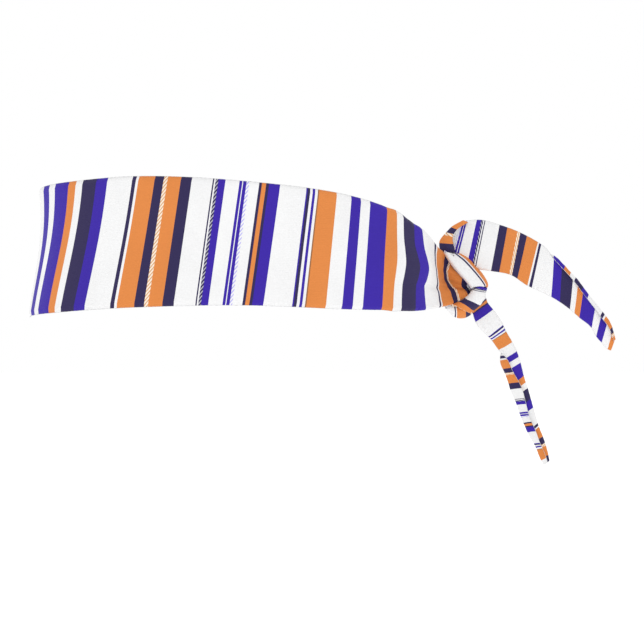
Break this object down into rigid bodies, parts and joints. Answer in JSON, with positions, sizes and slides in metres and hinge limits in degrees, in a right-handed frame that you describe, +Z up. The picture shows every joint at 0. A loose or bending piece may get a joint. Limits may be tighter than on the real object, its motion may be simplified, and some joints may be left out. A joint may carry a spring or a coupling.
{
  "type": "tie-back sports headband",
  "caption": "Double-ply striped stretch-fabric headband, worn round the head and tied at the back, with tapering tails that swing and fold from the knot.",
  "frame": {"origin": "centre of the head opening, at the height of the band's middle line over the ears", "axes": "+Z up as worn, -Y towards the wearer's face, +Y towards the knot, +X towards the wearer's left"},
  "size_m": [0.1514, 0.2947, 0.144],
  "materials": {
    "printed_fabric": "matt, fine-knit stretch polyester with printed stripes in orange, blue-violet and dark purple on white",
    "inner_fabric": "matt, fine-knit stretch polyester with the same print",
    "seam_thread": "matt polyester thread"
  },
  "bodies": {
    "band_and_knot": {"band_outer_ply": "printed_fabric", "band_inner_ply": "inner_fabric", "band_top_seam": "seam_thread", "band_bottom_seam": "seam_thread", "left_knot_strand": "printed_fabric", "right_knot_strand": "printed_fabric"},
    "upper_tail": {"upper_tail_front_ply": "printed_fabric", "upper_tail_back_ply": "inner_fabric", "upper_tail_top_seam": "seam_thread", "upper_tail_bottom_seam": "seam_thread"},
    "upper_tip": {"upper_tip_front_ply": "printed_fabric", "upper_tip_back_ply": "inner_fabric", "upper_tip_top_seam": "seam_thread", "upper_tip_bottom_seam": "seam_thread"},
    "lower_tail": {"lower_tail_front_ply": "printed_fabric", "lower_tail_back_ply": "inner_fabric", "lower_tail_outer_seam": "seam_thread", "lower_tail_folded_seam": "seam_thread"},
    "lower_tip": {"lower_tip_front_ply": "printed_fabric", "lower_tip_back_ply": "inner_fabric", "lower_tip_outer_seam": "seam_thread", "lower_tip_folded_seam": "seam_thread"}
  },
  "joints": [
    {"name": "upper_tail_swing", "type": "hinge", "parent": "band_and_knot", "child": "upper_tail", "pos_m": [0.0072, 0.11, 0.0016], "axis": [1, 0, 0], "range_deg": [-24, 40]},
    {"name": "upper_tip_fold", "type": "hinge", "parent": "upper_tail", "child": "upper_tip", "pos_m": [0.0112, 0.1525, -0.0113], "axis": [0, 0.5501, 0.8351], "range_deg": [-60, 10]},
    {"name": "lower_tail_swing", "type": "hinge", "parent": "band_and_knot", "child": "lower_tail", "pos_m": [-0.0025, 0.1215, -0.0318], "axis": [1, 0, 0], "range_deg": [-30, 25]},
    {"name": "lower_tip_fold", "type": "hinge", "parent": "lower_tail", "child": "lower_tip", "pos_m": [-0.006, 0.1425, -0.0725], "axis": [0, 0.945, 0.327], "range_deg": [-10, 60]}
  ]
}
